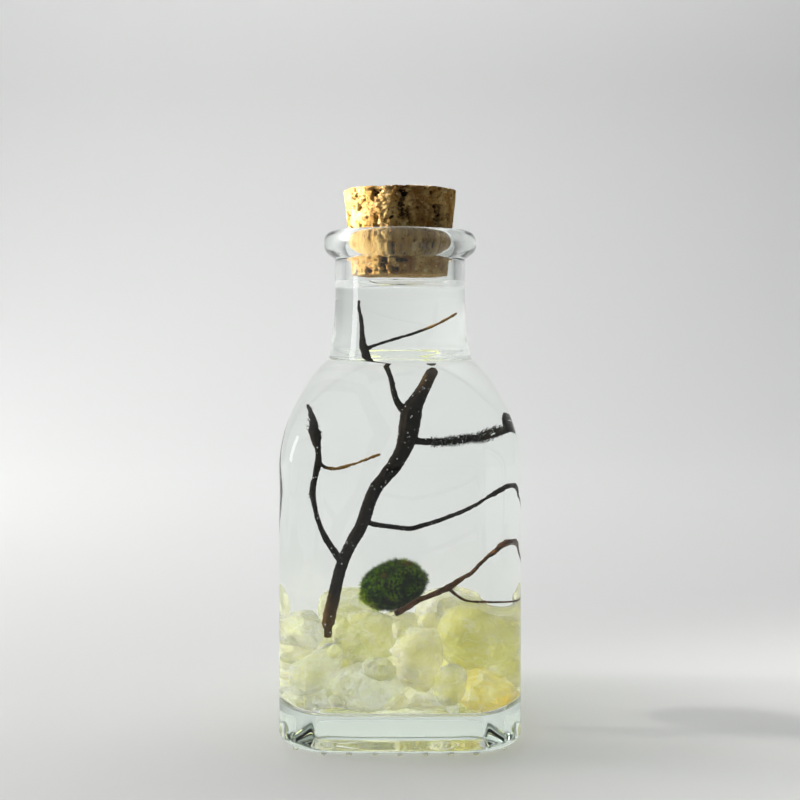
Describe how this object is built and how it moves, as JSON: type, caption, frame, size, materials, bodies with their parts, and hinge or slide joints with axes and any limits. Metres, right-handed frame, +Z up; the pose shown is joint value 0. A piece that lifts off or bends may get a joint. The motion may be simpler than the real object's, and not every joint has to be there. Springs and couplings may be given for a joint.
{
  "type": "corked bottle garden with a marimo moss ball",
  "caption": "Square clear-glass bottle with a cork stopper, filled with water over pale translucent pebbles, a small green moss ball and dark branching sea fan sprigs.",
  "frame": {"origin": "centre of the bottle's footprint, on the surface it stands on", "axes": "+Z up through the cork, the front that the picture shows faces -Y, +X to its right"},
  "size_m": [0.064, 0.064, 0.1458],
  "materials": {
    "clear_glass": "clear moulded glass, smooth, a faint green tint in its thick parts",
    "cork": "natural cork with dark pits, matt",
    "water": "clear still water with a curved meniscus",
    "moss": "soft short algae threads, bright green rim, dark centre",
    "sea_fan": "dark, nearly black, slightly rough bark-like skin with tiny clinging bubbles",
    "pale_stone": "tumbled translucent stone, pale yellow-green, smooth",
    "amber_stone": "tumbled translucent stone, amber, smooth"
  },
  "bodies": {
    "root": {"bottle": "clear_glass", "cork": "cork", "water": "water", "moss_ball": "moss", "sea_fan_trunk": "sea_fan", "sea_fan_branch_left": "sea_fan", "sea_fan_twiglet_left": "sea_fan", "sea_fan_branch_middle": "sea_fan", "sea_fan_branch_upper": "sea_fan", "sea_fan_stem_neck": "sea_fan", "sea_fan_prong_neck": "sea_fan", "lying_twig_stem": "sea_fan", "lying_twig_prong": "sea_fan", "stone_front_bottom_left": "pale_stone", "stone_front_oval": "pale_stone", "stone_front_flat": "pale_stone", "stone_front_amber": "amber_stone", "stone_front_chip": "pale_stone", "stone_front_tall": "pale_stone", "stone_front_long": "pale_stone", "stone_front_sliver": "pale_stone", "stone_front_upper": "pale_stone", "stone_front_round": "pale_stone", "stone_left_corner": "pale_stone", "stone_middle_left": "pale_stone", "stone_middle": "pale_stone", "stone_middle_right": "pale_stone", "stone_left_wall": "pale_stone", "stone_right_wall": "pale_stone", "stone_back_left": "pale_stone", "stone_back": "pale_stone", "stone_back_right": "pale_stone", "stone_back_upper_left": "pale_stone", "stone_back_upper_right": "pale_stone"}
  },
  "joints": []
}
